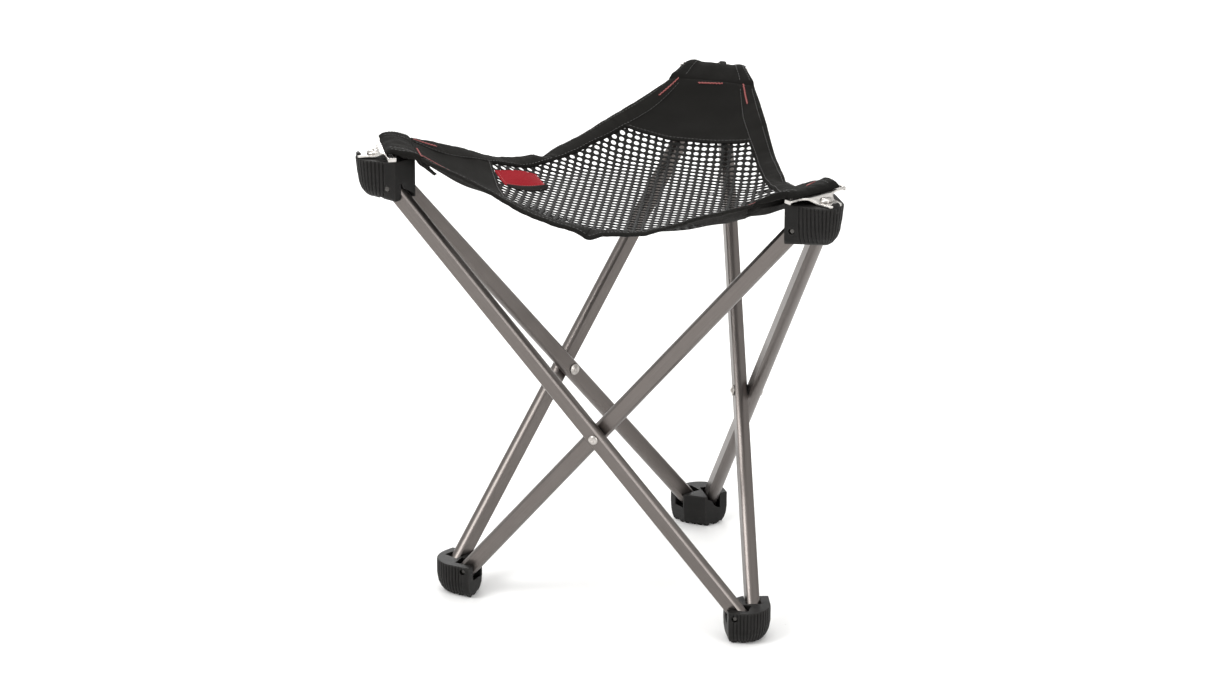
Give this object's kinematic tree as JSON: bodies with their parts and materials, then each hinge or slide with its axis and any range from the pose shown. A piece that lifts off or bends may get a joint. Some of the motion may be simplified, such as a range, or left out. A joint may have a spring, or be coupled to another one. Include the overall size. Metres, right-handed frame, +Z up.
{
  "type": "folding tripod camp stool",
  "caption": "Folding three-legged camp stool: crossed tubes in pairs joined by plastic hubs and feet, with a slung mesh seat hooked to a steel plate at each corner.",
  "frame": {"origin": "centre of the footprint of the bounding box, on the floor under the stool", "axes": "+Z up; +X along the front side of the triangular frame, towards the right hub; +Y from the front side towards the back hub"},
  "size_m": [0.4554, 0.4124, 0.4469],
  "materials": {
    "anodised_tube": "satin anodised",
    "black_plastic": "fine moulded texture",
    "plate_steel": "bright nickel-plated stamping",
    "screw_steel": "zinc-plated",
    "rivet_steel": "plated",
    "pin_steel": "dark steel",
    "insert_brass": "turned",
    "washer_nylon": "nylon",
    "seat_mesh": "open knit mesh with round holes",
    "binding_tape": "woven tape",
    "corner_webbing": "plain woven polyester",
    "red_fabric": "woven label and thread"
  },
  "bodies": {
    "foot_left": {"foot_left": "black_plastic", "foot_pin_left_inner": "pin_steel", "foot_pin_left_outer": "pin_steel"},
    "foot_right": {"foot_right": "black_plastic", "foot_pin_right_inner": "pin_steel", "foot_pin_right_outer": "pin_steel"},
    "foot_back": {"foot_back": "black_plastic", "foot_pin_back_inner": "pin_steel", "foot_pin_back_outer": "pin_steel"},
    "tube_front_outer": {"tube_front_outer": "anodised_tube", "rivet_front": "rivet_steel", "rivet_washer_front": "washer_nylon"},
    "tube_front_inner": {"tube_front_inner": "anodised_tube"},
    "tube_right_outer": {"tube_right_outer": "anodised_tube", "rivet_right": "rivet_steel", "rivet_washer_right": "washer_nylon"},
    "tube_right_inner": {"tube_right_inner": "anodised_tube"},
    "tube_left_outer": {"tube_left_outer": "anodised_tube", "rivet_left": "rivet_steel", "rivet_washer_left": "washer_nylon"},
    "tube_left_inner": {"tube_left_inner": "anodised_tube"},
    "hub_left": {"hub_left": "black_plastic", "hub_pin_left_outer": "pin_steel", "hub_pin_left_inner": "pin_steel", "hook_plate_left": "plate_steel", "plate_screw_left": "screw_steel", "threaded_insert_left": "insert_brass", "webbing_head_left": "corner_webbing"},
    "hub_right": {"hub_right": "black_plastic", "hub_pin_right_outer": "pin_steel", "hub_pin_right_inner": "pin_steel", "hook_plate_right": "plate_steel", "plate_screw_right": "screw_steel", "threaded_insert_right": "insert_brass", "webbing_head_right": "corner_webbing"},
    "hub_back": {"hub_back": "black_plastic", "hub_pin_back_outer": "pin_steel", "hub_pin_back_inner": "pin_steel", "hook_plate_back": "plate_steel", "plate_screw_back": "screw_steel", "threaded_insert_back": "insert_brass", "webbing_head_back": "corner_webbing"},
    "seat_left": {"seat_panel_left": "seat_mesh", "edge_binding_front": "binding_tape", "label_tab": "red_fabric"},
    "seat_right": {"seat_panel_right": "seat_mesh", "edge_binding_right": "binding_tape"},
    "seat_back": {"seat_panel_back": "seat_mesh", "edge_binding_left": "binding_tape"}
  },
  "joints": [
    {"name": "fold", "type": "hinge", "parent": "foot_back", "child": "tube_left_inner", "pos_m": [-0.00924, 0.10471, 0.02706], "axis": [-0.8128, 0.5825, 0], "range_deg": [0, 33]},
    {"name": "hub_left_on_left_inner", "type": "hinge", "parent": "tube_left_inner", "child": "hub_left", "pos_m": [-0.19924, -0.1604, 0.40996], "axis": [-0.8128, 0.5825, 0], "range_deg": [-33, 0]},
    {"name": "front_outer_in_hub_left", "type": "hinge", "parent": "hub_left", "child": "tube_front_outer", "pos_m": [-0.19353, -0.18366, 0.40884], "axis": [-0.0981, 0.9952, 0], "range_deg": [0, 33]},
    {"name": "foot_right_on_front_outer", "type": "hinge", "parent": "tube_front_outer", "child": "foot_right", "pos_m": [0.13107, -0.15168, 0.02594], "axis": [-0.0981, 0.9952, 0], "range_deg": [-33, 0]},
    {"name": "right_inner_in_foot_right", "type": "hinge", "parent": "foot_right", "child": "tube_right_inner", "pos_m": [0.13679, -0.12842, 0.02706], "axis": [0.9109, 0.4127, 0], "range_deg": [0, 33]},
    {"name": "hub_back_on_right_inner", "type": "hinge", "parent": "tube_right_inner", "child": "hub_back", "pos_m": [0.00219, 0.16869, 0.40996], "axis": [0.9109, 0.4127, 0], "range_deg": [-33, 0]},
    {"name": "right_outer_in_foot_back", "type": "hinge", "parent": "foot_back", "child": "tube_right_outer", "pos_m": [0.01376, 0.11139, 0.02594], "axis": [-0.8128, -0.5825, 0], "range_deg": [0, 33]},
    {"name": "hub_right_on_right_outer", "type": "hinge", "parent": "tube_right_outer", "child": "hub_right", "pos_m": [0.20376, -0.15373, 0.40884], "axis": [-0.8128, -0.5825, 0], "range_deg": [-33, 0]},
    {"name": "front_inner_in_hub_right", "type": "hinge", "parent": "hub_right", "child": "tube_front_inner", "pos_m": [0.18648, -0.17031, 0.40996], "axis": [-0.0981, -0.9952, 0], "range_deg": [0, 33]},
    {"name": "foot_left_on_front_inner", "type": "hinge", "parent": "tube_front_inner", "child": "foot_left", "pos_m": [-0.13812, -0.13832, 0.02706], "axis": [-0.0981, -0.9952, 0], "range_deg": [-33, 0]},
    {"name": "left_outer_in_foot_left", "type": "hinge", "parent": "foot_left", "child": "tube_left_outer", "pos_m": [-0.15541, -0.12174, 0.02594], "axis": [0.9109, -0.4127, 0], "range_deg": [0, 33]},
    {"name": "seat_swing_left", "type": "hinge", "parent": "hub_left", "child": "seat_left", "pos_m": [-0.18193, -0.15701, 0.4334], "axis": [-0.5, 0.866, 0], "range_deg": [0, 62.7], "deforming": ["seat_panel_left", "edge_binding_front", "label_tab"]},
    {"name": "seat_swing_right", "type": "hinge", "parent": "hub_right", "child": "seat_right", "pos_m": [0.17488, -0.15701, 0.4334], "axis": [-0.5, -0.866, 0], "range_deg": [0, 62.7], "deforming": ["seat_panel_right", "edge_binding_right"]},
    {"name": "seat_swing_back", "type": "hinge", "parent": "hub_back", "child": "seat_back", "pos_m": [-0.00352, 0.15199, 0.4334], "axis": [1, 0, 0], "range_deg": [0, 62.7], "deforming": ["seat_panel_back", "edge_binding_left"]}
  ],
  "couplings": [
    {"joint": "hub_left_on_left_inner", "follows": "fold", "ratio": -1},
    {"joint": "front_outer_in_hub_left", "follows": "fold", "ratio": 1},
    {"joint": "foot_right_on_front_outer", "follows": "fold", "ratio": -1},
    {"joint": "right_inner_in_foot_right", "follows": "fold", "ratio": 1},
    {"joint": "hub_back_on_right_inner", "follows": "fold", "ratio": -1},
    {"joint": "right_outer_in_foot_back", "follows": "fold", "ratio": 1},
    {"joint": "hub_right_on_right_outer", "follows": "fold", "ratio": -1},
    {"joint": "front_inner_in_hub_right", "follows": "fold", "ratio": 1},
    {"joint": "foot_left_on_front_inner", "follows": "fold", "ratio": -1},
    {"joint": "left_outer_in_foot_left", "follows": "fold", "ratio": 1},
    {"joint": "seat_swing_left", "follows": "fold", "ratio": 1.9},
    {"joint": "seat_swing_right", "follows": "fold", "ratio": 1.9},
    {"joint": "seat_swing_back", "follows": "fold", "ratio": 1.9}
  ]
}
